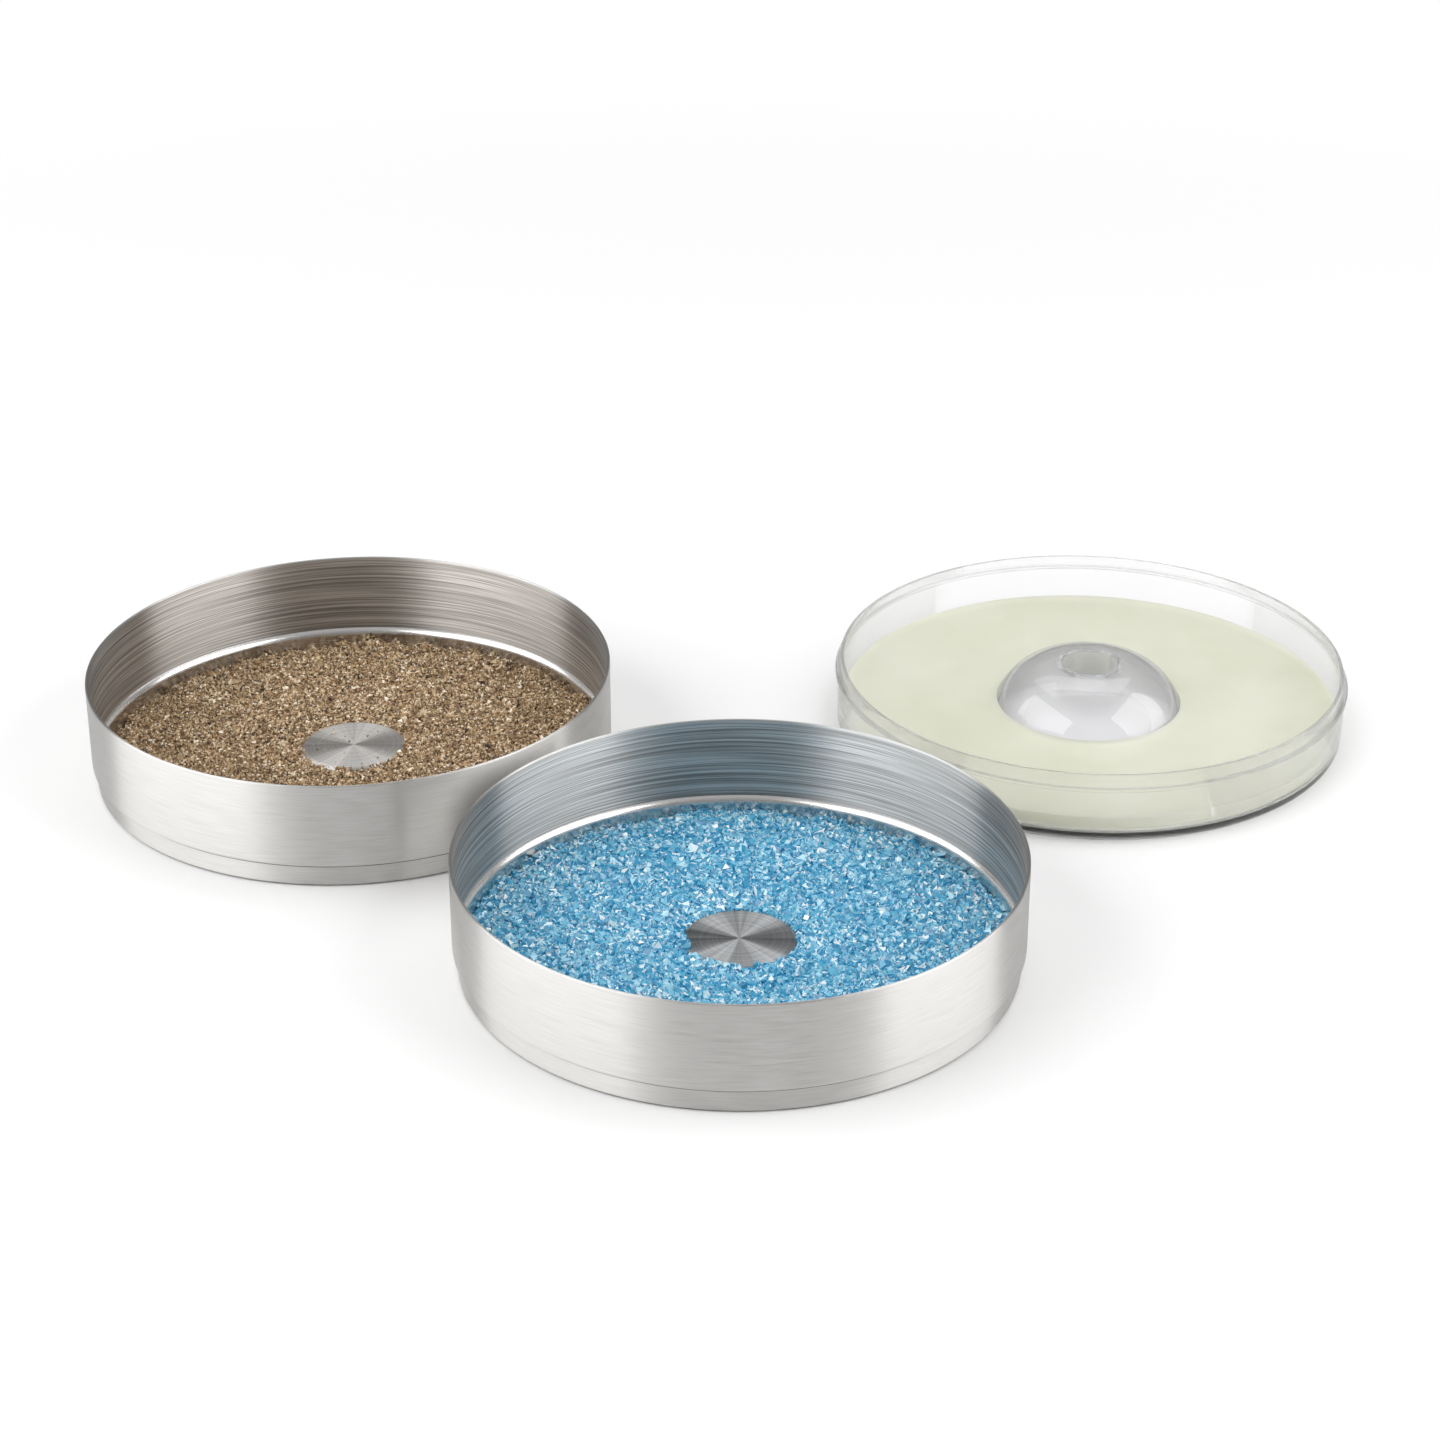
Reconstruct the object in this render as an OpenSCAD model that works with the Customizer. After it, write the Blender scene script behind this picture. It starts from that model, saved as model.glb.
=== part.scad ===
// Set of three round rimming trays: two drawn steel trays, one with blue sugar
// and one with spiced brown sugar, and a clear moulded tray of lime juice.
// The trays stack, and the clear one turned over is the lid.
// Millimetres, +Z up. The origin is the middle of the set's footprint, on the
// surface that the trays stand on.

/* [Steel trays] */
// Outside diameter of the wall
tray_d = 145; // [120:0.5:180]
// Height from the table to the rim
tray_h = 30.4; // [22:0.1:45]
// Thickness of the steel sheet
sheet_t = 0.8; // [0.5:0.05:1.2]
// Height of the foot, up to the step that rests on the rim below
foot_h = 6.2; // [5:0.1:9]
// Gap all round between a foot and the rim that it stacks in
nest_gap = 0.4; // [0.2:0.05:0.8]
// Outside radius between the foot and the base
foot_corner_r = 1; // [0.9:0.1:3.5]

/* [Steel boss] */
// Diameter of the boss pressed up in the middle of the base
boss_d = 29.2; // [20:0.1:45]
// Height of the boss's flat top above the table
boss_h = 5; // [3.8:0.1:7]
// Radius round the boss's top edge
boss_edge_r = 1.4; // [1.25:0.05:2]
// How much wider the boss is at its foot than under its edge, each side
boss_flare = 0.8; // [0.4:0.1:2]

/* [Clear tray] */
// Height from the table to the rim
clear_h = 20.6; // [17:0.1:30]
// Gap all round between the clear rim and a steel rim that it closes as a lid
lid_gap = 0.25; // [0.1:0.05:0.6]
// Height of the rim above the flange
lid_rim_h = 3.7; // [2.5:0.1:5]
// Thickness of the rim
rim_t = 1.1; // [0.8:0.05:1.6]
// Thickness of the flange
flange_t = 1; // [0.8:0.1:1.6]
// How far the flange stands out past a steel tray's wall
flange_out = 0.4; // [0.2:0.1:1]
// How far the wall under the flange is set back from a steel tray's wall
body_inset = 0.1; // [0:0.05:0.3]
// How much the wall narrows from the flange to the base, each side
body_draft = 0.4; // [0.1:0.05:0.8]
// Outside radius between the wall and the base
clear_corner_r = 3; // [1.5:0.1:4]
// Inside radius between the wall and the floor
floor_corner_r = 2.5; // [1.5:0.1:4]
// Thickness of the floor
floor_t = 2; // [1.5:0.1:3]

/* [Dome] */
// Diameter of the dome where it meets the floor
dome_d = 54.8; // [44:0.2:70]
// Height of the dome's crest above the table
dome_h = 19.6; // [16:0.1:20]
// Thickness of the dome and of the well
dome_t = 1.4; // [1:0.05:1.8]
// Diameter of the well in the dome's top
well_d = 15.8; // [12:0.1:22]
// Depth of the well below the dome's crest
well_depth = 11.2; // [5:0.1:12]
// Radius of the lip that rolls from the dome into the well
lip_r = 0.9; // [0.8:0.05:1.8]

/* [Fillings] */
// Level of the blue sugar above the table
sugar_level = 4.7; // [3:0.1:5]
// Level of the brown spiced sugar above the table
spice_level = 4.8; // [3:0.1:5]
// Width of the slope at a bed's edge
bed_slope_w = 8; // [4:0.5:14]
// How much lower a bed lies at the tray's wall than at its level
bed_edge_drop = 1.6; // [0.8:0.1:2]
// Number of low mounds on a bed
mound_count = 12; // [6:1:20]
// Width of a mound
mound_w = 19; // [12:1:24]
// Height of a mound above the bed's level
mound_h = 0.4; // [0.2:0.05:0.6]
// Level of the lime juice above the table
juice_level = 6.5; // [4.5:0.1:10]
// How far the juice climbs where it wets the tray
meniscus_h = 1.1; // [0.4:0.1:1.6]
// How far from the wet wall the juice has sunk to its level
meniscus_w = 3; // [1.5:0.1:5]
// Gap that keeps a filling clear of the wall that holds it
fill_gap = 0.05; // [0.02:0.01:0.15]

/* [Places] */
// Centre of the left tray from the front one, to the right
left_x = -108; // [-150:1:-90]
// Centre of the left tray from the front one, to the back
left_y = 106; // [90:1:160]
// Centre of the clear tray from the front one, to the right
clear_x = 101; // [90:1:150]
// Centre of the clear tray from the front one, to the back
clear_y = 129.5; // [100:0.5:180]

/* [Hidden] */
$fn = 96;

// steel tray
tray_r = tray_d / 2;
rim_inner_r = tray_r - sheet_t;
foot_r = rim_inner_r - nest_gap;        // the foot stacks inside a rim
foot_inner_r = foot_r - sheet_t;
foot_inner_corner_r = max(foot_corner_r - sheet_t, sheet_t / 4);
step_w = tray_r - foot_r;               // the step under the wall is a quarter round
ledge_z = foot_h + step_w;
boss_r = boss_d / 2;

// clear tray
lid_r = rim_inner_r - lid_gap;          // the rim turned over fits inside a steel rim
flange_r = tray_r + flange_out;
flange_z = clear_h - lid_rim_h - flange_t;
body_r = tray_r - body_inset;
clear_base_r = body_r - body_draft;
clear_inner_r = lid_r - rim_t;
well_r = well_d / 2;
crest_r = well_r + lip_r;
dome_arc_r = dome_d / 2 - crest_r;
dome_arc_z = dome_h - dome_arc_r;
dome_wall_z = max(dome_arc_z, floor_t / 2);  // the dome is upright below its arc
well_floor_z = dome_h - well_depth;

// fillings
golden_turn = 180 * (3 - sqrt(5));      // degrees from a mound to the next
meniscus_steps = 6;
meniscus_sharpness = 3;

// the set is centred over the origin
set_x = [min(-tray_r, left_x - tray_r, clear_x - flange_r),
         max(tray_r, left_x + tray_r, clear_x + flange_r)];
set_y = [min(-tray_r, left_y - tray_r, clear_y - flange_r),
         max(tray_r, left_y + tray_r, clear_y + flange_r)];
front_place = [-(set_x[0] + set_x[1]) / 2, -(set_y[0] + set_y[1]) / 2, 0];
left_place = front_place + [left_x, left_y, 0];
clear_place = front_place + [clear_x, clear_y, 0];

// Half outline of a disc from z0 to z1 with its lower edge rounded
module disc_outline(r, z0, z1, edge_r) {
  translate([0, z0]) square([r - edge_r, z1 - z0]);
  translate([0, z0 + edge_r]) square([r, z1 - z0 - edge_r]);
  translate([r - edge_r, z0 + edge_r]) circle(edge_r);
}

// Half outline of a flat-topped boss with its upper edge rounded
module boss_outline(r, top, edge_r, flare) {
  square([r - edge_r, top]);
  translate([r - edge_r, top - edge_r]) circle(edge_r);
  polygon([[0, 0], [r + flare, 0], [r, top - edge_r], [0, top - edge_r]]);
}

// Outside of the steel tray: the foot, and the wall over its rounded step
module steel_outside() {
  disc_outline(foot_r, 0, ledge_z, foot_corner_r);
  disc_outline(tray_r, foot_h, tray_h - sheet_t / 2, step_w);
}

// Inside of the steel tray: the foot and the wall, and the rounded ledge between them
module steel_inside() {
  disc_outline(foot_inner_r, sheet_t, tray_h, foot_inner_corner_r);
  difference() {
    translate([0, foot_h]) square([rim_inner_r, tray_h]);
    translate([rim_inner_r, foot_h]) circle(step_w);
  }
}

module steel_boss() {
  boss_outline(boss_r, boss_h, boss_edge_r, boss_flare);
}

// One drawn sheet: foot, step, wall with a rounded rim, and the hollow boss
module steel_tray() {
  rotate_extrude() {
    difference() {
      steel_outside();
      difference() {
        steel_inside();
        steel_boss();
      }
      boss_outline(boss_r - sheet_t, boss_h - sheet_t, boss_edge_r - sheet_t, boss_flare);
    }
    translate([tray_r - sheet_t / 2, tray_h - sheet_t / 2]) circle(sheet_t / 2);
  }
}

module front_steel_tray() {
  color("#c9c8c6") translate(front_place) steel_tray();
}

module left_steel_tray() {
  color("#c4c0bc") translate(left_place) steel_tray();
}

// Half outline of a bed: it fills the foot, and slopes down at its edge to the wall
module bed_outline(level) {
  edge_r = foot_inner_r - fill_gap;
  toe = (2 - sqrt(2)) * foot_inner_corner_r;   // clears the rounded corner of the foot
  polygon([[0, sheet_t], [edge_r - toe, sheet_t], [edge_r, sheet_t + toe],
           [edge_r, level - bed_edge_drop], [foot_inner_r - bed_slope_w, level], [0, level]]);
}

// A low mound with its foot just under the bed's level
module mound(level) {
  mound_r = (pow(mound_w / 2, 2) + pow(mound_h, 2)) / (2 * mound_h);
  intersection() {
    translate([0, 0, level + mound_h - mound_r]) sphere(mound_r);
    translate([0, 0, level - mound_h]) cylinder(r = mound_w / 2 + 1, h = 3 * mound_h);
  }
}

// A bed of loose grains round the boss, with mounds spread evenly over it
module bed(level) {
  first_r = boss_r + boss_flare + mound_w / 2 + 1;
  last_r = foot_inner_r - bed_slope_w - mound_w / 2 - 1;
  difference() {
    union() {
      rotate_extrude() bed_outline(level);
      for (i = [0:mound_count - 1]) {
        share = i / (mound_count - 1);
        rotate(i * golden_turn)
          translate([sqrt(pow(first_r, 2) + share * (pow(last_r, 2) - pow(first_r, 2))), 0])
            mound(level);
      }
    }
    rotate_extrude() boss_outline(boss_r + fill_gap, boss_h + fill_gap, boss_edge_r, boss_flare);
  }
}

module blue_sugar() {
  color("#5997b5") translate(front_place) bed(sugar_level);
}

module brown_spiced_sugar() {
  color("#9a8265") translate(left_place) bed(spice_level);
}

// Outside of the dome, with the rolled lip of its well
module dome_outside() {
  difference() {
    union() {
      square([crest_r, dome_h]);
      square([dome_d / 2, dome_wall_z]);
      intersection() {
        translate([crest_r, dome_arc_z]) circle(dome_arc_r);
        square([dome_d / 2, dome_h]);
      }
    }
    translate([0, well_floor_z]) square([well_r, dome_h]);
    difference() {
      translate([well_r - lip_r, dome_h - lip_r]) square([2 * lip_r, 2 * lip_r]);
      translate([crest_r, dome_h - lip_r]) circle(lip_r);
    }
  }
}

// Hollow under the dome, round the well that hangs in it
module dome_hollow() {
  difference() {
    union() {
      square([crest_r, dome_h - dome_t]);
      square([dome_d / 2 - dome_t, dome_wall_z]);
      intersection() {
        translate([crest_r, dome_arc_z]) circle(dome_arc_r - dome_t);
        square([dome_d / 2, dome_h]);
      }
    }
    translate([0, well_floor_z - dome_t]) square([well_r + dome_t, dome_h]);
  }
}

// Outside of the clear tray: base, drafted wall, round-edged flange and lid rim
module clear_outside() {
  disc_outline(clear_base_r, 0, flange_z, clear_corner_r);
  polygon([[0, clear_corner_r], [clear_base_r, clear_corner_r], [body_r, flange_z], [0, flange_z]]);
  translate([0, flange_z]) square([flange_r - flange_t / 2, flange_t]);
  translate([flange_r - flange_t / 2, flange_z + flange_t / 2]) circle(flange_t / 2);
  translate([0, flange_z]) square([lid_r, clear_h - flange_z]);
}

module clear_inside() {
  disc_outline(clear_inner_r, floor_t, clear_h + 1, floor_corner_r);
}

// One moulding: wall, floor and dome
module clear_juice_tray() {
  color("#f0f0f2", 0.4) translate(clear_place)
    rotate_extrude()
      difference() {
        clear_outside();
        difference() {
          clear_inside();
          dome_outside();
        }
        dome_hollow();
      }
}

// Height of the juice above its level, at a distance from the wet wall
function climb(distance) = meniscus_h * exp(-meniscus_sharpness * distance / meniscus_w);

function meniscus(wall_r, side) =
  [for (i = [0:meniscus_steps])
    let (distance = meniscus_w * i / meniscus_steps)
    [wall_r - side * distance, juice_level + climb(distance)]];

// The juice fills the clear tray to a level and climbs a little at wall and dome
module lime_juice() {
  wall_r = clear_inner_r - fill_gap;
  dome_r = crest_r;
  wet_z = juice_level + meniscus_h;
  wet_r = crest_r + sqrt(pow(dome_arc_r, 2) - pow(max(wet_z - dome_arc_z, 0), 2));
  at_wall = meniscus(wall_r, 1);
  at_dome = meniscus(wet_r, -1);
  color("#e2e3d1", 0.9) translate(clear_place)
    rotate_extrude()
      difference() {
        intersection() {
          disc_outline(wall_r, floor_t, clear_h, floor_corner_r);
          polygon(concat(
            [[dome_r, 0], [wall_r, 0]],
            at_wall,
            [for (i = [meniscus_steps:-1:0]) at_dome[i]],
            [[dome_r, wet_z]]));
        }
        square([crest_r, clear_h]);
        square([dome_d / 2 + fill_gap, dome_wall_z]);
        translate([crest_r, dome_arc_z]) circle(dome_arc_r + fill_gap);
      }
}

front_steel_tray();
left_steel_tray();
clear_juice_tray();
blue_sugar();
brown_spiced_sugar();
lime_juice();
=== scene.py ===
import math

import bpy
import numpy as np
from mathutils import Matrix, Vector


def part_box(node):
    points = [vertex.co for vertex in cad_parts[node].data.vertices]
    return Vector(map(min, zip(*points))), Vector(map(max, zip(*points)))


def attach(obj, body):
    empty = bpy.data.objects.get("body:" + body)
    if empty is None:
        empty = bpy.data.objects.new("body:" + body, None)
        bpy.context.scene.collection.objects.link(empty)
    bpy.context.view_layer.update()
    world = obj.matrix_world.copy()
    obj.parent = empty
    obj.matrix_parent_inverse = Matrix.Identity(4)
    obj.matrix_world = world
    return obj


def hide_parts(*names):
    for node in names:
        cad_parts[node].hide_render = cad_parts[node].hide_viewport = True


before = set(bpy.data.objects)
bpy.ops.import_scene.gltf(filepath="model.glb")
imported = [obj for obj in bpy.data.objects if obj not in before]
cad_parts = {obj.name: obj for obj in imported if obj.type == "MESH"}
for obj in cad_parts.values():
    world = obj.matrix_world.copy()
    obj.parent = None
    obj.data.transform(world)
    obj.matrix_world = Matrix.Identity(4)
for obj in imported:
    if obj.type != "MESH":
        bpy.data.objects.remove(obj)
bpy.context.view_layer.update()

# ---------------------------------------------------------------- steel trays
# Two copies of one tray, deep drawn from 0.8 mm stainless sheet: a foot under a
# rounded step, a straight wall with a rounded rim, and a boss pressed up in the
# middle of the base. The wall is brushed on a lathe and the step is polished.
MM = 0.001
SECTORS = 288

sheet = 0.8
foot_r = 71.3
foot_corner = 1.0
foot_h = 6.2
# Height of the band of painted shade in the crease under the step.
crease_shade_h = 0.4
ledge_r = 2.4
boss_r = 14.6
boss_h = 5.0
boss_edge = 1.4
boss_flare = 0.8
flare_h = 0.4


def middle(node):
    """The middle of a tray's base, in metres, from its CAD node."""
    low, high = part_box(node)
    return Vector(((low.x + high.x) / 2, (low.y + high.y) / 2, 0))


def arc(r, z, radius, start, end, steps=8):
    """A round stretch of an outline about (r, z), from one angle to another."""
    turns = np.radians(np.linspace(start, end, steps + 1))
    return [(r + radius * math.cos(t), z + radius * math.sin(t)) for t in turns]


def ring(r, z, sectors=SECTORS):
    """A level ring of points about the Z axis, or a single point on it."""
    if r < 1e-6:
        return np.array([[0.0, 0.0, z]])
    turns = np.arange(sectors) * 2 * math.pi / sectors
    return np.stack([r * np.cos(turns), r * np.sin(turns), np.full(sectors, z)], 1)


def skin(name, rings, place, looped=False, finishes=None, sharp=32):
    """A mesh stretched over rings of points, in millimetres about a tray's middle."""
    starts = np.cumsum([0] + [len(r) for r in rings])
    faces, slots = [], []
    for i in range(len(rings) if looped else len(rings) - 1):
        j = (i + 1) % len(rings)
        count = max(len(rings[i]), len(rings[j]))
        here = np.arange(count)
        after = (here + 1) % count
        a, b = starts[i], starts[j]
        if len(rings[i]) == 1:
            corners = [a + 0 * here, b + after, b + here]
        elif len(rings[j]) == 1:
            corners = [a + here, a + after, b + 0 * here]
        else:
            corners = [a + here, a + after, b + after, b + here]
        faces += np.stack(corners, 1).tolist()
        slots += [finishes[i] if finishes else 0] * count
    mesh = bpy.data.meshes.new(name)
    mesh.from_pydata((np.concatenate(rings) * MM).tolist(), [], faces)
    mesh.polygons.foreach_set("material_index", slots)
    mesh.shade_smooth()
    mesh.set_sharp_from_angle(angle=math.radians(sharp))
    return put(name, mesh, place)


def put(name, mesh, place):
    """Places a mesh in the scene with its origin at a tray's middle."""
    piece = bpy.data.objects.new(name, mesh)
    piece.location = place
    bpy.context.scene.collection.objects.link(piece)
    return piece


def lathe(name, stretches, place, looped=False):
    """Turns an outline, given as (finish, points) stretches, round a tray's axis."""
    outline, finishes = [], []
    for finish, points in stretches:
        for point in points:
            if outline and math.dist(point, outline[-1]) < 1e-6:
                finishes[-1] = finish
                continue
            outline.append(point)
            finishes.append(finish)
    return skin(name, [ring(r, z) for r, z in outline], place, looped, finishes)


def linear(code):
    """An sRGB hex colour as the linear colour that a shader takes."""
    values = [int(code[i:i + 2], 16) / 255 for i in (1, 3, 5)]
    return [v / 12.92 if v <= 0.04045 else ((v + 0.055) / 1.055) ** 2.4 for v in values] + [1]


def add(tree, kind, inputs=None, **settings):
    """Adds a node with its settings, and sets or links its inputs."""
    node = tree.nodes.new("ShaderNode" + kind)
    for key, value in settings.items():
        setattr(node, key, value)
    for key, value in (inputs or {}).items():
        if isinstance(value, bpy.types.NodeSocket):
            tree.links.new(value, node.inputs[key])
        else:
            node.inputs[key].default_value = value
    return node


def new_material(name):
    """A material with an empty Principled shader, and its node tree."""
    material = bpy.data.materials.new(name)
    material.use_nodes = True
    tree = material.node_tree
    return material, tree, tree.nodes["Principled BSDF"]


def ramp(tree, factor, stops):
    """A colour ramp over (place, hex colour) stops."""
    node = add(tree, "ValToRGB", {"Fac": factor})
    for place, code in stops[2:]:
        node.color_ramp.elements.new(place)
    for element, (place, code) in zip(node.color_ramp.elements, stops):
        element.position = place
        element.color = linear(code)
    return node.outputs["Color"]


def turned_marks(tree, across_mm, along_mm):
    """Noise drawn out round the tray's axis, as a lathe's tool or belt leaves it."""
    place = add(tree, "TexCoord").outputs["Object"]
    parts = add(tree, "SeparateXYZ", {0: place})
    flat = add(tree, "CombineXYZ", {"X": parts.outputs["X"], "Y": parts.outputs["Y"]})
    radius = add(tree, "VectorMath", {0: flat.outputs[0]}, operation="LENGTH")
    line = add(tree, "Math", {0: radius.outputs["Value"], 1: parts.outputs["Z"]}, operation="ADD")
    across = add(tree, "Math", {0: line.outputs[0], 1: 1 / (across_mm * MM)}, operation="MULTIPLY")
    along = add(tree, "VectorMath", {0: flat.outputs[0], 3: 1 / (along_mm * MM)}, operation="SCALE")
    drawn = add(tree, "SeparateXYZ", {0: along.outputs[0]})
    spot = add(tree, "CombineXYZ", {"X": drawn.outputs["X"], "Y": drawn.outputs["Y"],
                                    "Z": across.outputs[0]})
    noise = add(tree, "TexNoise", {"Vector": spot.outputs[0], "Scale": 1.0, "Detail": 3.0})
    return noise.outputs["Fac"]


def painted_fan_rays(tree):
    """Painted light and shade: noise that changes only with the direction from the
    tray's axis, in rays about a fifth of a radian wide."""
    place = add(tree, "TexCoord").outputs["Object"]
    parts = add(tree, "SeparateXYZ", {0: place})
    turn = add(tree, "Math", {0: parts.outputs["Y"], 1: parts.outputs["X"]}, operation="ARCTAN2")
    noise = add(tree, "TexNoise", {"W": turn.outputs[0], "Scale": 5.0, "Detail": 4.0},
                noise_dimensions="1D")
    return noise.outputs["Fac"]


# Stainless steel brushed on a lathe. Its fine lines run round the tray, so that
# a lamp's reflection is drawn out up and down and keeps upright edges. The real
# lines are about 0.1 mm apart and are drawn at 0.3 mm, which the render can show,
# and the coarser belt marks inside at 0.4 mm. Rays are a painted fan of light and
# shade: the reflection that turning leaves on a flat face, painted into its colour.
def brushed_steel(name, light, dark, roughness, anisotropy, along_mm, streaks, depth_mm, rays=0.0,
                  across_mm=0.3):
    material, tree, shader = new_material(name)
    tone = turned_marks(tree, across_mm, along_mm)
    if rays:
        # Painted light and shade: the fan of rays is mixed into the colour.
        tone = add(tree, "Mix", {"Factor": rays, "A": tone, "B": painted_fan_rays(tree)}).outputs["Result"]
    spread = 0.5 - streaks
    tree.links.new(ramp(tree, tone, [(spread, dark), (1 - spread, light)]),
                   shader.inputs["Base Color"])
    rough = add(tree, "MapRange", {"Value": tone, "From Min": 0.3, "From Max": 0.7,
                                   "To Min": roughness + 0.05, "To Max": roughness - 0.05})
    tree.links.new(rough.outputs["Result"], shader.inputs["Roughness"])
    shader.inputs["Metallic"].default_value = 1.0
    shader.inputs["Anisotropic"].default_value = anisotropy
    shader.inputs["Anisotropic Rotation"].default_value = 0.25
    tangent = add(tree, "Tangent", direction_type="RADIAL", axis="Z")
    tree.links.new(tangent.outputs[0], shader.inputs["Tangent"])
    bump = add(tree, "Bump", {"Height": tone, "Distance": depth_mm * MM, "Strength": 1.0})
    tree.links.new(bump.outputs[0], shader.inputs["Normal"])
    return material


STEELS = [
    brushed_steel("stainless_wall_satin", "#d8d7d5", "#cdcbc8", 0.41, 1.0, 10, 0.25, 0.003),
    brushed_steel("stainless_inside_brushed", "#e6e3e0", "#a39f9b", 0.42, 1.0, 50, 0.12, 0.02,
                  across_mm=0.4),
    brushed_steel("stainless_boss_turned_painted_fan", "#ced0d2", "#808284", 0.42, 1.0, 30, 0.2, 0.008, 0.5),
    # Painted light: the left tray's boss is the same steel as the front one's, painted lighter as a
    # lit copy, with a rougher finish and a weaker painted fan.
    brushed_steel("stainless_boss_painted_lighter", "#dcdad7", "#aeaba7", 0.5, 0.8, 30, 0.2, 0.008, 0.4),
    brushed_steel("stainless_ledge_polished", "#ecebe9", "#dfdddb", 0.25, 0.6, 20, 0.2, 0.003),
    # Painted shade: a dark copy of the wall steel, for the crease under the step and a painted
    # contact shadow where the foot meets the floor.
    brushed_steel("stainless_painted_crease_shade", "#83827f", "#6f6e6c", 0.45, 1.0, 12, 0.2, 0.003),
]
WALL, INSIDE, BOSS, LIT_BOSS_PAINTED, POLISHED, PAINTED_SHADE = range(6)


def steel_tray(name, node, body, boss):
    """One drawn tray, its outline followed from under the boss to the boss's top."""
    low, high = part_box(node)
    tray_r = (high.x - low.x) / 2 / MM
    rim_z = high.z / MM - sheet / 2
    inner_r = tray_r - sheet
    step = tray_r - foot_r
    foot_in = foot_r - sheet
    corner_r = foot_r - foot_corner
    inner_corner = foot_corner - sheet
    under = boss_r - sheet
    under_edge = boss_edge - sheet
    edge_z = boss_h - boss_edge
    ledge_turn = math.degrees(math.acos(1 - step / ledge_r))
    ledge_low = foot_h + step - ledge_r * math.sin(math.radians(ledge_turn))
    stretches = [
        (WALL, [(0, boss_h - sheet)]
         + arc(under - under_edge, edge_z, under_edge, 90, 0)
         + [(under + boss_flare * 0.9, flare_h), (under + boss_flare + flare_h, 0)]),
        # Painted shadow: the bottom of the foot's rounded corner is painted dark, as the shadow
        # where it meets the floor.
        (PAINTED_SHADE, arc(corner_r, foot_corner, foot_corner, -90, -30, 4)),
        (WALL, arc(corner_r, foot_corner, foot_corner, -30, 0, 3)),
        # Painted shade: a thin dark band in the crease under the step.
        (PAINTED_SHADE, [(foot_r, foot_h - crease_shade_h), (foot_r, foot_h)]),
        (WALL, arc(foot_r, foot_h + step, step, -90, 0) + [(tray_r, rim_z)]),
        (WALL, arc(tray_r - sheet / 2, rim_z, sheet / 2, 0, 180, 12)),
        (INSIDE, [(inner_r, rim_z)]),
        (POLISHED, arc(foot_in + ledge_r, ledge_low, ledge_r, 180 - ledge_turn, 180, 12)
         + arc(foot_in - inner_corner, foot_corner, inner_corner, 0, -90, 4)),
        (INSIDE, [(corner_r, sheet), (boss_r + boss_flare + 0.3, sheet),
                  (boss_r + boss_flare * 0.6, sheet + flare_h)]),
        (boss, [(boss_r + boss_flare * 0.6, sheet + flare_h)]
         + arc(boss_r - boss_edge, edge_z, boss_edge, 0, 90, 10) + [(0, boss_h)]),
    ]
    tray = lathe(name, stretches, middle(node))
    for steel in STEELS:
        tray.data.materials.append(steel)
    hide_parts(node)
    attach(tray, body)
    return tray


steel_tray("front_tray_drawn_steel", "front_steel_tray", "front_tray", BOSS)
# The left tray's boss takes the lighter painted copy of the boss steel.
steel_tray("left_tray_drawn_steel", "left_steel_tray", "left_tray", LIT_BOSS_PAINTED)

# ----------------------------------------------------------------- blue sugar
# A bed of coarse blue sugar crystals poured round the boss, lower at the tray's
# wall and with low mounds. It is loose grains: a bed, and two layers of crystals.
bed_floor = 0.85
bed_edge = 70.4
bed_slope = 8.0
bed_drop = 1.6
mound_w = 19.0
mound_h = 0.4


def relief(seed, longest, shortest, height, count=28):
    """A rolling surface made of seeded waves. Sizes in millimetres."""
    rng = np.random.default_rng(seed)
    length = np.exp(rng.uniform(math.log(shortest), math.log(longest), count))
    heading = rng.uniform(0, 2 * math.pi, count)
    phase = rng.uniform(0, 2 * math.pi, count)
    size = (length / longest) ** 0.7
    size *= height / math.sqrt((size ** 2).sum() / 2)

    def at(x, y):
        total = np.zeros_like(x)
        for l, h, p, s in zip(length, heading, phase, size):
            total += s * np.sin(2 * math.pi * (x * math.cos(h) + y * math.sin(h)) / l + p)
        return total
    return at


def mounds(count=12):
    """The low mounds of the CAD's beds, each a shallow cap, spread evenly."""
    first = boss_r + boss_flare + mound_w / 2 + 1
    last = bed_edge - bed_slope - mound_w / 2 - 1
    share = np.arange(count) / (count - 1)
    r = np.sqrt(first ** 2 + share * (last ** 2 - first ** 2))
    turn = np.arange(count) * math.pi * (3 - math.sqrt(5))

    def at(x, y):
        top = np.zeros_like(x)
        for mx, my in zip(r * np.cos(turn), r * np.sin(turn)):
            away = ((x - mx) ** 2 + (y - my) ** 2) / (mound_w / 2) ** 2
            top = np.maximum(top, mound_h * (1 - away))
        return top
    return at


def bed_surface(level, seed, roll_h, ragged_h, lump_h=0.0, clumps=(), thin=0.0):
    """A bed's height at each spot: rolling, ragged at the wall, with clumps of grain.
    It lies thinner at its back left."""
    roll = relief(seed, 40, 5, roll_h)
    ragged = relief(seed + 1, 22, 4, ragged_h)
    lumps = relief(seed + 2, 8, 3, lump_h)
    low_mounds = mounds()

    def at(x, y):
        r = np.hypot(x, y)
        share = np.clip((r - bed_edge + bed_slope) / bed_slope, 0, 1)
        z = level + low_mounds(x, y) + roll(x, y) + lumps(x, y)
        z += share * (ragged(x, y) - bed_drop)
        z -= share * thin * np.clip(np.cos(np.arctan2(y, x) - math.radians(145)), 0, 1)
        for cx, cy, wide, high in clumps:
            z += high * np.exp(-((x - cx) ** 2 + (y - cy) ** 2) / wide ** 2)
        return z
    return at


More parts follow.
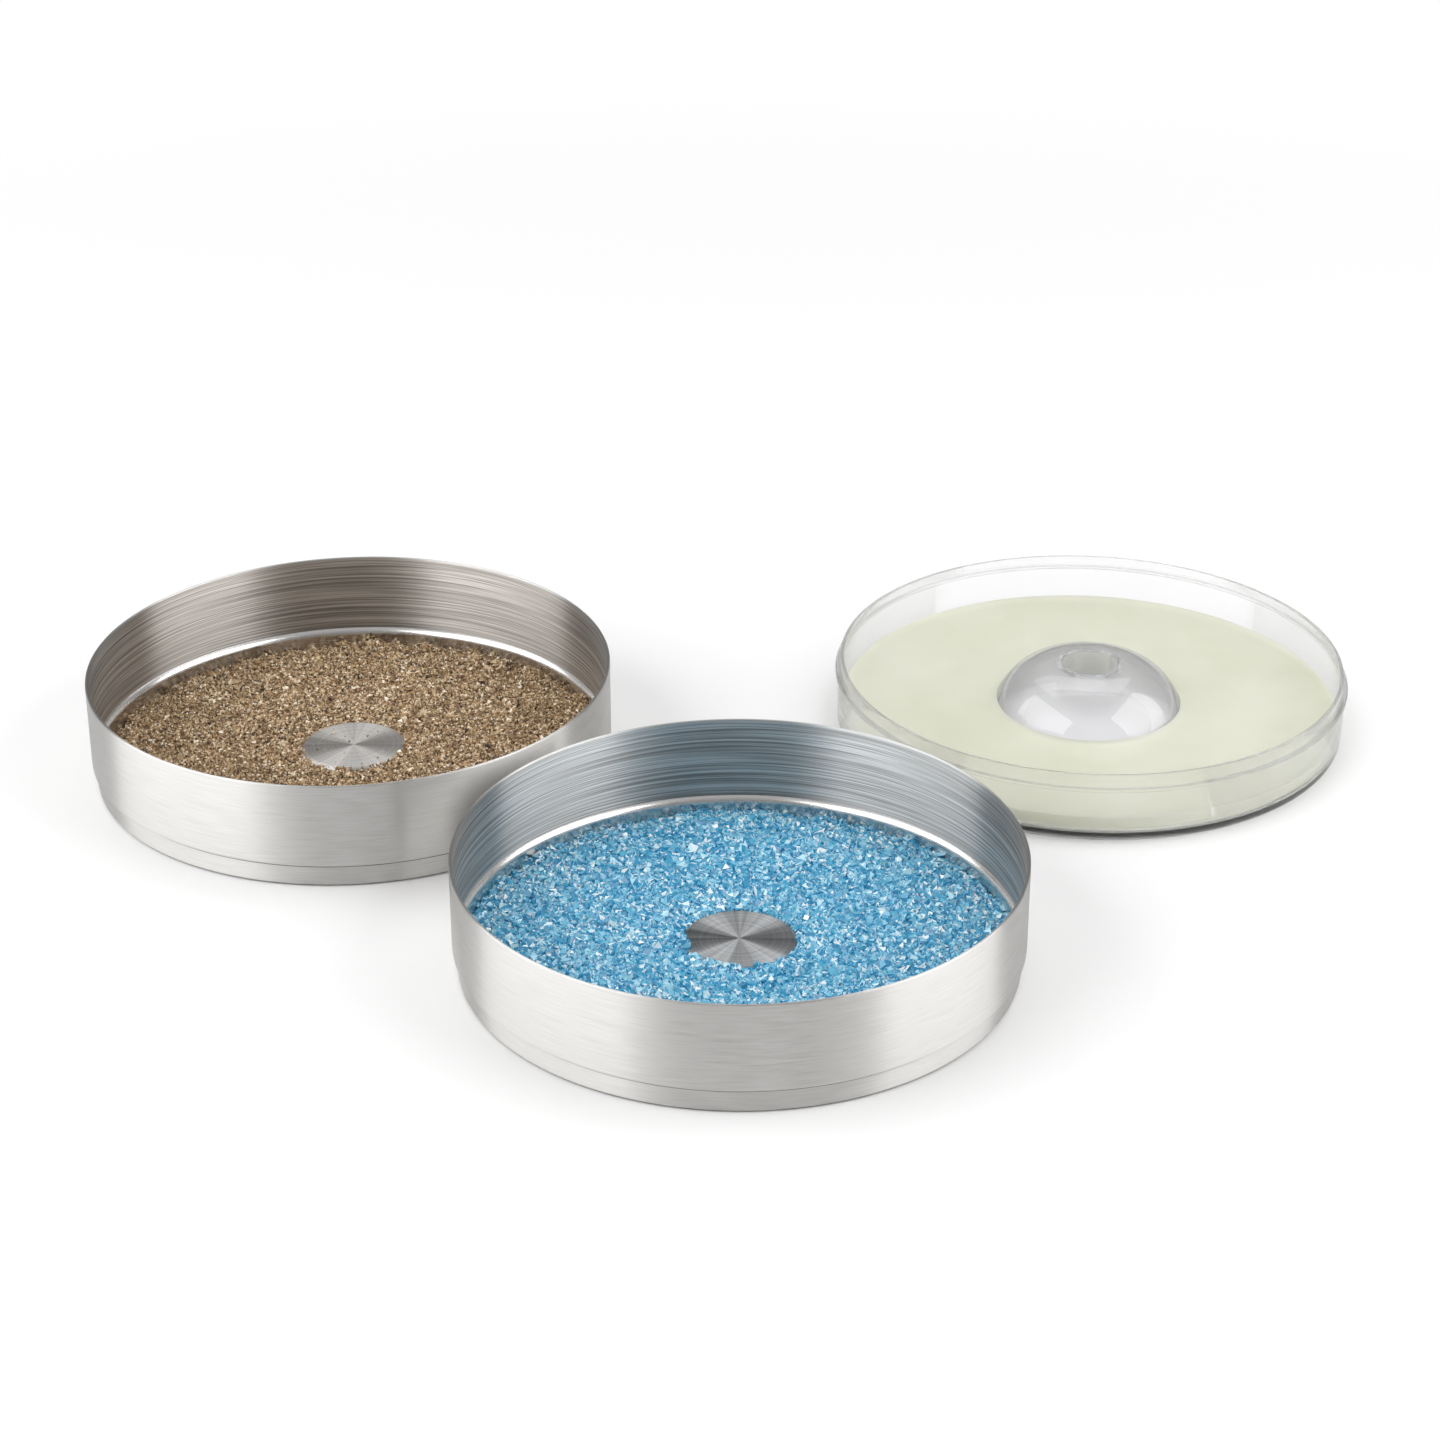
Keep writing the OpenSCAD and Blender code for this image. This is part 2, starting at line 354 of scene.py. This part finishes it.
def bed_rings(surface, sunk, rows=80):
    """The rings of a bed: floor, edge against the wall, and a top in to the boss."""
    rings = [ring(boss_r + boss_flare + 0.1, bed_floor), ring(bed_edge - 0.3, bed_floor)]
    for r in np.linspace(bed_edge, boss_r - 0.2, rows):
        top = ring(r, 0)
        top[:, 2] = surface(top[:, 0], top[:, 1]) - sunk
        rings.append(top)
    return rings


def scatter(rng, count, inner, outer):
    """Seeded spots spread evenly over a ring-shaped bed."""
    r = np.sqrt(rng.uniform(inner ** 2, outer ** 2, count))
    turn = rng.uniform(0, 2 * math.pi, count)
    return r * np.cos(turn), r * np.sin(turn)


def heaped(x, y, toward, over):
    """Which grains to keep round the boss: on one side they lie over its edge."""
    lean = np.cos(np.arctan2(y, x) - math.radians(toward))
    return np.hypot(x, y) > boss_r + 0.5 - over * np.clip(lean + 0.3, 0, 1)


def over_boss(x, y, z, lift):
    """Heights of grains, with those that lie on the boss's edge set on top of it."""
    share = np.clip((np.hypot(x, y) - boss_r + boss_edge) / boss_edge, 0, 1)
    edge = boss_h - boss_edge * (1 - np.sqrt(1 - share ** 2))
    return np.where(np.hypot(x, y) < boss_r, np.maximum(z, edge + lift), z)


def grains(name, place, spots, sizes, corners, sides, rng, uneven):
    """One mesh of many loose grains, each a turned and uneven copy of a form."""
    count = len(spots)
    form = corners[None] * (1 + rng.uniform(-uneven, uneven, (count, len(corners), 3)))
    form = form * sizes[:, None, :]
    w, x, y, z = rng.normal(size=(4, count))
    n = np.sqrt(w * w + x * x + y * y + z * z)
    w, x, y, z = w / n, x / n, y / n, z / n
    turn = np.array([[1 - 2 * (y * y + z * z), 2 * (x * y - z * w), 2 * (x * z + y * w)],
                     [2 * (x * y + z * w), 1 - 2 * (x * x + z * z), 2 * (y * z - x * w)],
                     [2 * (x * z - y * w), 2 * (y * z + x * w), 1 - 2 * (x * x + y * y)]])
    points = np.einsum("ijn,nkj->nki", turn, form) + spots[:, None, :]
    faces = np.array(sides)[None] + (np.arange(count) * len(corners))[:, None, None]
    mesh = bpy.data.meshes.new(name)
    mesh.from_pydata((points.reshape(-1, 3) * MM).tolist(), [],
                     faces.reshape(-1, len(sides[0])).tolist())
    return put(name, mesh, place)


# Sugar crystals are box-shaped, about 1.3 mm across.
BOX = np.array([[x, y, z] for z in (-0.5, 0.5) for y in (-0.5, 0.5) for x in (-0.5, 0.5)])
BOX_SIDES = [(0, 2, 3, 1), (4, 5, 7, 6), (0, 1, 5, 4), (2, 6, 7, 3), (0, 4, 6, 2), (1, 3, 7, 5)]


# Dyed crystal sugar. Each crystal is clear blue with flat faces. Each face gets
# its own colour at random, from deep blue to white: painted light and shade for
# how a clear face catches the light, and a painted sparkle at the white end.
def crystal_sugar():
    material, tree, shader = new_material("crystal_sugar_dyed_blue_painted_sparkle")
    grain = add(tree, "NewGeometry").outputs["Random Per Island"]
    facing = add(tree, "TexCoord").outputs["Normal"]
    painted_facet_light = add(tree, "TexWhiteNoise", {"Vector": facing, "W": grain}, noise_dimensions="4D")
    # Painted light: each face's colour stands in for its light and shade, and the white end is a
    # painted sparkle.
    colour = ramp(tree, painted_facet_light.outputs["Value"],
                  [(0.0, "#1b7fae"), (0.3, "#349dc8"), (0.6, "#62b8d8"), (0.82, "#9fd8ea"),
                   (0.96, "#f2fbfe")])
    tree.links.new(colour, shader.inputs["Base Color"])
    shader.inputs["Roughness"].default_value = 0.1
    shader.inputs["IOR"].default_value = 1.8
    return material


def sugar_bed():
    """The mass of sugar under the loose crystals, mottled at the crystals' size."""
    material, tree, shader = new_material("crystal_sugar_packed_blue")
    place = add(tree, "TexCoord").outputs["Object"]
    cells = add(tree, "TexVoronoi", {"Vector": place, "Scale": 1 / (1.0 * MM)})
    colour = ramp(tree, cells.outputs["Color"],
                  [(0.1, "#1d78a5"), (0.5, "#3c93be"), (0.9, "#6cb3d2")])
    tree.links.new(colour, shader.inputs["Base Color"])
    shader.inputs["Roughness"].default_value = 0.4
    bump = add(tree, "Bump", {"Height": cells.outputs["Distance"], "Distance": 0.4 * MM})
    tree.links.new(bump.outputs[0], shader.inputs["Normal"])
    return material


def loose_bed(name, node, body, rings, material):
    """The closed bed that stands for a filling's CAD node."""
    bed = skin(name, rings, middle(node), looped=True, sharp=60)
    bed.data.materials.append(material)
    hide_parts(node)
    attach(bed, body)
    return bed


sugar_surface = bed_surface(4.7, 3, 0.1, 0.45)
loose_bed("blue_sugar_bed", "blue_sugar", "front_tray",
          bed_rings(sugar_surface, 0.7), sugar_bed())
crystal_blue = crystal_sugar()
crystal_mm = 1.3
for layer, (seed, lift) in {"lower": (11, -0.75), "upper": (12, -0.5)}.items():
    rng = np.random.default_rng(seed)
    count = 16000
    x, y = scatter(rng, count, boss_r - 1.1, 70.0)
    kept = heaped(x, y, 240, 1.4)
    x, y = x[kept], y[kept]
    count = len(x)
    z = over_boss(x, y, sugar_surface(x, y) + lift + rng.uniform(-0.15, 0.15, count), 0.2)
    sizes = rng.lognormal(math.log(crystal_mm), 0.2, count)[:, None]
    sizes = sizes * rng.uniform(0.7, 1.15, (count, 3))
    name = f"blue_sugar_crystals_{layer}"
    crystals = grains(name, middle("blue_sugar"), np.stack([x, y, z], 1), sizes, BOX, BOX_SIDES,
                      rng, 0.28)
    crystals.data.materials.append(crystal_blue)
    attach(crystals, "front_tray")

# --------------------------------------------------------- brown spiced sugar
# A bed of brown sugar mixed with ground spice: finer, darker and more uneven,
# with clumps towards its edge. It lies loose in the left tray round the boss.
FLAKE = np.array([[-0.5, 0, 0], [0.5, 0, 0], [0, -0.5, 0], [0, 0.5, 0], [0, 0, -0.5], [0, 0, 0.5]])
FLAKE_SIDES = [(0, 2, 5), (2, 1, 5), (1, 3, 5), (3, 0, 5),
               (2, 0, 4), (1, 2, 4), (3, 1, 4), (0, 3, 4)]


# Brown sugar and ground spice. Dull, with pale sugar grains, tan grains and
# dark flecks of spice side by side. Each face of a grain also gets its own
# random tone, as painted light and shade on the grain's sides.
def spiced_sugar(name, stops):
    material, tree, shader = new_material(name)
    grain = add(tree, "NewGeometry").outputs["Random Per Island"]
    facing = add(tree, "TexCoord").outputs["Normal"]
    painted_facet_light = add(tree, "TexWhiteNoise", {"Vector": facing, "W": grain}, noise_dimensions="4D")
    # Painted light and shade: 0.4 of each grain's colour comes from its own face, for a painted lit
    # side and shaded side.
    mixed = add(tree, "Mix", {"Factor": 0.4, "A": grain, "B": painted_facet_light.outputs["Value"]})
    tree.links.new(ramp(tree, mixed.outputs["Result"], stops), shader.inputs["Base Color"])
    shader.inputs["Roughness"].default_value = 0.45
    shader.inputs["IOR"].default_value = 1.5
    return material


def spice_bed():
    material, tree, shader = new_material("brown_sugar_packed")
    place = add(tree, "TexCoord").outputs["Object"]
    cells = add(tree, "TexVoronoi", {"Vector": place, "Scale": 1 / (0.6 * MM)})
    colour = ramp(tree, cells.outputs["Color"],
                  [(0.1, "#3d2e20"), (0.5, "#97795a"), (0.9, "#d0b692")])
    tree.links.new(colour, shader.inputs["Base Color"])
    shader.inputs["Roughness"].default_value = 0.7
    bump = add(tree, "Bump", {"Height": cells.outputs["Distance"], "Distance": 0.3 * MM})
    tree.links.new(bump.outputs[0], shader.inputs["Normal"])
    return material


def edge_clumps(seed, sectors):
    """Clumps of damp grain near the wall, as (x, y, radius, height) in millimetres."""
    rng = np.random.default_rng(seed)
    clumps = []
    for start, end, count in sectors:
        for turn in np.radians(rng.uniform(start, end, count)):
            r = rng.uniform(63.5, 69.5)
            clumps.append((r * math.cos(turn), r * math.sin(turn),
                           rng.uniform(0.9, 2.2), rng.uniform(0.6, 1.7)))
    return clumps


clump_places = edge_clumps(5, [(20, 100, 34), (100, 150, 12), (150, 205, 16)])
dent_r, dent_w, dent_deep = 16.4, 1.7, 1.2
clump_places += [(dent_r * math.cos(t), dent_r * math.sin(t), dent_w, -dent_deep)
                 for t in np.radians((226, 238, 250))]
spice_surface = bed_surface(4.8, 21, 0.15, 0.5, 0.15, clump_places, 1.2)
loose_bed("brown_spiced_sugar_bed", "brown_spiced_sugar", "left_tray",
          bed_rings(spice_surface, 0.5), spice_bed())
grain_brown = spiced_sugar("brown_sugar_with_ground_spice_painted_shade",
                           [(0.14, "#2c1f14"), (0.3, "#866a4a"), (0.52, "#b69770"),
                            (0.7, "#d8bf99"), (0.86, "#fff4e0")])
grain_mm = 0.64
on_boss = 0.02
spice_layers = {"lower": (31, -0.5), "middle": (32, -0.35), "upper": (33, -0.2)}
for layer, (seed, lift) in spice_layers.items():
    rng = np.random.default_rng(seed)
    count = 24500
    x, y = scatter(rng, count, 0, 70.1)
    kept = heaped(x, y, 300, 1.2) | (rng.uniform(size=count) < on_boss)
    x, y = x[kept], y[kept]
    count = len(x)
    z = over_boss(x, y, spice_surface(x, y) + lift + rng.uniform(-0.2, 0.2, count), 0.15)
    sizes = rng.lognormal(math.log(grain_mm), 0.3, count)[:, None]
    sizes = sizes * rng.uniform(0.4, 1.8, (count, 3))
    sizes[np.hypot(x, y) < boss_r - 1] *= 0.5
    name = f"brown_sugar_grains_{layer}"
    loose = grains(name, middle("brown_spiced_sugar"), np.stack([x, y, z], 1), sizes, FLAKE,
                   FLAKE_SIDES, rng, 0.3)
    loose.data.materials.append(grain_brown)
    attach(loose, "left_tray")

# ----------------------------------------------------------------- clear tray
# One moulding in clear plastic: base, drafted wall, flange, and a rim that fits
# in a steel tray when the clear one is turned over as a lid. A hollow dome with
# a small well stands up in the middle.
flange_t = 1.0
lid_rim_h = 3.7
lid_r = 71.45
clear_in_r = 70.35
clear_base_r = 72.0
base_corner = 3.0
floor_t = 2.0
floor_corner = 2.5
dome_r = 27.4
dome_h = 19.6
dome_t = 1.4
well_r = 7.9
well_depth = 11.2
lip_r = 0.9


# Clear moulded plastic, such as SAN. Colourless and glossy. Part of the light goes
# straight through, so its thin edges turn grey and not black. The hollow of the
# dome is spark-eroded: it scatters the light, and the dome looks silvery. The
# dome's outside is polished, and its coat gives the lamps' sharp reflections.
def clear_plastic(name, roughness, straight, polish=0.0):
    material, tree, shader = new_material(name)
    shader.inputs["Base Color"].default_value = linear("#ffffff")
    shader.inputs["Roughness"].default_value = roughness
    shader.inputs["IOR"].default_value = 1.45
    shader.inputs["Specular IOR Level"].default_value = 1.0
    shader.inputs["Transmission Weight"].default_value = 1.0
    shader.inputs["Coat Weight"].default_value = polish
    shader.inputs["Coat IOR"].default_value = 1.7
    path = add(tree, "LightPath")
    through = add(tree, "Math", {0: path.outputs["Is Shadow Ray"],
                                 1: path.outputs["Is Diffuse Ray"]}, operation="MAXIMUM")
    share = add(tree, "MapRange", {"Value": through.outputs[0], "To Min": straight, "To Max": 1.0})
    veil = add(tree, "BsdfTransparent", {"Color": linear("#f6f6f7")})
    mix = add(tree, "MixShader", {0: share.outputs["Result"], 1: shader.outputs[0],
                                  2: veil.outputs[0]})
    tree.links.new(mix.outputs[0], tree.nodes["Material Output"].inputs["Surface"])
    return material


clear_low, clear_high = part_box("clear_juice_tray")
clear_h = clear_high.z / MM
flange_r = (clear_high.x - clear_low.x) / 2 / MM
flange_z = clear_h - lid_rim_h - flange_t
crest_r = well_r + lip_r
dome_arc = dome_r - crest_r
dome_z = dome_h - dome_arc
well_z = dome_h - well_depth
well_out = well_r + dome_t
hollow_top = dome_z + math.sqrt((dome_arc - dome_t) ** 2 - (well_out - crest_r) ** 2)
hollow_start = math.degrees(math.asin((hollow_top - dome_z) / (dome_arc - dome_t)))
foot_turn = math.degrees(math.asin((floor_t + 0.5 - dome_z) / dome_arc))
rim_edge = 0.3
rim_chamfer = 0.15
foot_chamfer = 0.5
dome_fillet = 0.6
well_corner = 0.8
CLEAR_PLASTICS = [
    clear_plastic("san_plastic_moulded_clear", 0.03, 0.35),
    clear_plastic("san_plastic_spark_eroded", 0.45, 0.25),
    clear_plastic("san_plastic_dome_polished", 0.03, 0.4, 0.7),
]
MOULDED, ERODED, DOME = range(3)
clear_tray = lathe("clear_tray_moulding", [
    (ERODED, [(0, well_z - dome_t)] + arc(well_out - 1, well_z - dome_t + 1, 1, -90, 0)),
    (ERODED, arc(crest_r, dome_z, dome_arc - dome_t, hollow_start, 0, 28)),
    (MOULDED, [(dome_r - dome_t, foot_chamfer), (dome_r - dome_t + foot_chamfer, 0)]),
    (MOULDED, arc(clear_base_r - base_corner, base_corner, base_corner, -90, 0, 12)),
    (MOULDED, arc(flange_r - flange_t / 2, flange_z + flange_t / 2, flange_t / 2, -90, 90, 12)),
    (MOULDED, [(lid_r + rim_chamfer, flange_z + flange_t),
               (lid_r, flange_z + flange_t + rim_chamfer)]),
    (MOULDED, arc(lid_r - rim_edge, clear_h - rim_edge, rim_edge, 0, 90, 4)),
    (MOULDED, arc(clear_in_r + rim_edge, clear_h - rim_edge, rim_edge, 90, 180, 4)),
    (MOULDED, arc(clear_in_r - floor_corner, floor_t + floor_corner, floor_corner, 0, -90, 12)),
    (MOULDED, [(dome_r + dome_fillet, floor_t)]),
    (DOME, arc(crest_r, dome_z, dome_arc, foot_turn, 90, 36)),
    (MOULDED, arc(crest_r, dome_h - lip_r, lip_r, 90, 180, 10)),
    (MOULDED, arc(well_r - well_corner, well_z + well_corner, well_corner, 0, -90, 6)
     + [(0, well_z)]),
], middle("clear_juice_tray"))
for plastic in CLEAR_PLASTICS:
    clear_tray.data.materials.append(plastic)
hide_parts("clear_juice_tray")
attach(clear_tray, "clear_tray")

# ----------------------------------------------------------------- lime juice
# Fresh juice, poured round the dome. It is a liquid: level, glossy, and climbing
# a little where it wets the wall and the dome.
juice_level = 6.5
meniscus_h = 1.1
meniscus_w = 3.0
film = 0.06


# Fresh lime juice: cloudy with pulp, so light enters it and comes back pale
# yellow-green, under a still and glossy surface.
def lime_juice():
    material, tree, shader = new_material("lime_juice_cloudy")
    place = add(tree, "TexCoord").outputs["Object"]
    cloud = add(tree, "TexNoise", {"Vector": place, "Scale": 1 / (30 * MM), "Detail": 3.0})
    colour = ramp(tree, cloud.outputs["Fac"], [(0.3, "#d4d5c1"), (0.7, "#dddecd")])
    tree.links.new(colour, shader.inputs["Base Color"])
    shader.inputs["Roughness"].default_value = 0.06
    shader.inputs["IOR"].default_value = 1.34
    shader.inputs["Subsurface Weight"].default_value = 0.3
    shader.inputs["Subsurface Radius"].default_value = (1.0, 1.0, 0.7)
    shader.inputs["Subsurface Scale"].default_value = 4 * MM
    return material


def meniscus(wall_r, side, steps=14):
    """The juice's surface from where it wets a wall to its level."""
    return [(wall_r - side * meniscus_w * i / steps,
             juice_level + meniscus_h * math.exp(-3 * i / steps)) for i in range(steps + 1)]


wall_film = clear_in_r - film
wet_z = juice_level + meniscus_h
dome_film = dome_arc + film
wet_r = crest_r + math.sqrt(dome_film ** 2 - (wet_z - dome_z) ** 2)
wet_turn = math.degrees(math.asin((wet_z - dome_z) / dome_film))
juice = lathe("lime_juice_pool", [
    (0, [(dome_r + dome_fillet + film, floor_t + film)]),
    (0, arc(clear_in_r - floor_corner, floor_t + floor_corner, floor_corner - film, -90, 0, 12)),
    (0, meniscus(wall_film, 1)),
    (0, meniscus(wet_r, -1)[::-1]),
    (0, arc(crest_r, dome_z, dome_film, wet_turn, foot_turn, 10)),
], middle("lime_juice"), looped=True)
juice.data.materials.append(lime_juice())
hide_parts("lime_juice")
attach(juice, "clear_tray")

# ------------------------------------------------------------ floor and lights
# A wide white floor, two large softboxes at the left and right, one high up behind
# and a low card in front. The gap between the two gives the darker upright band on
# the steel. The room is dim near the floor and brighter overhead.
floor_mesh = bpy.data.meshes.new("floor")
reach = 12.0
floor_mesh.from_pydata([(-reach, -reach, 0), (reach, -reach, 0), (reach, reach, 0),
                        (-reach, reach, 0)], [], [(0, 1, 2, 3)])
floor = put("floor", floor_mesh, Vector((0, 0, -0.02 * MM)))
material, tree, shader = new_material("white_floor_paper")
shader.inputs["Base Color"].default_value = linear("#f6f6f6")
shader.inputs["Roughness"].default_value = 0.9
path = add(tree, "LightPath")
seen = add(tree, "Math", {0: path.outputs["Is Camera Ray"], 1: path.outputs["Is Glossy Ray"]},
           operation="MAXIMUM")
seen = add(tree, "Math", {0: seen.outputs[0], 1: path.outputs["Is Transmission Ray"]},
           operation="MAXIMUM")
place = add(tree, "NewGeometry").outputs["Position"]
away = add(tree, "VectorMath", {0: place}, operation="LENGTH")
glowing = add(tree, "MapRange", {"Value": away.outputs["Value"], "From Min": 0.2, "From Max": 0.7,
                                 "To Min": 0.0, "To Max": 1.0})
share = add(tree, "Math", {0: seen.outputs[0], 1: glowing.outputs["Result"]}, operation="MULTIPLY")
glow = add(tree, "Emission", {"Color": (1, 1, 1, 1), "Strength": 1.0})
mix = add(tree, "MixShader", {0: share.outputs[0], 1: shader.outputs[0], 2: glow.outputs[0]})
tree.links.new(mix.outputs[0], tree.nodes["Material Output"].inputs["Surface"])
floor_mesh.materials.append(material)


def softbox(name, azimuth, elevation, distance, size, radiance):
    """A square area lamp that faces the set, at a given brightness as it is seen."""
    lamp = bpy.data.lights.new(name, "AREA")
    lamp.shape = "RECTANGLE"
    lamp.size, lamp.size_y = size
    lamp.energy = radiance * math.pi * size[0] * size[1]
    box = bpy.data.objects.new(name, lamp)
    a, e = math.radians(azimuth), math.radians(elevation)
    away = Vector((math.sin(a) * math.cos(e), -math.cos(a) * math.cos(e), math.sin(e)))
    box.location = away * distance
    box.rotation_euler = away.to_track_quat("Z", "Y").to_euler()
    bpy.context.scene.collection.objects.link(box)


softbox("left_softbox", -72, 27, 1.2, (1.7, 1.3), 2.4)
softbox("right_softbox", 78, 27, 1.2, (1.3, 1.3), 2.4)
softbox("top_softbox", 180, 62, 1.3, (1.3, 0.9), 1.1)
softbox("low_front_card", 0, 6, 1.3, (2.0, 0.25), 0.6)
world = bpy.data.worlds.new("studio")
world.use_nodes = True
tree = world.node_tree
toward = add(tree, "TexCoord").outputs["Generated"]
upward = add(tree, "SeparateXYZ", {0: toward})
level = add(tree, "MapRange", {"Value": upward.outputs["Z"], "From Min": 0.1, "From Max": 1.0,
                               "To Min": 0.15, "To Max": 0.5})
tree.nodes["Background"].inputs["Color"].default_value = (1, 1, 1, 1)
tree.links.new(level.outputs["Result"], tree.nodes["Background"].inputs["Strength"])
bpy.context.scene.world = world
bpy.context.scene.view_settings.view_transform = "Standard"

# ---------------------------------------------------------------------- camera
# The view that was fitted to the rims and bases of the three trays.
focal_px = 3302.5
frame_px = 1440
pitch_down = 0.4733
camera_data = bpy.data.cameras.new("camera")
camera_data.sensor_width = 36.0
camera_data.lens = focal_px / frame_px * camera_data.sensor_width
camera_data.clip_start = 0.01
camera_data.clip_end = 100
camera = bpy.data.objects.new("camera", camera_data)
camera.location = (-1.6 * MM, -783.45 * MM, 434.95 * MM)
camera.rotation_euler = (math.pi / 2 - pitch_down, 0, 0)
bpy.context.scene.collection.objects.link(camera)
bpy.context.scene.camera = camera
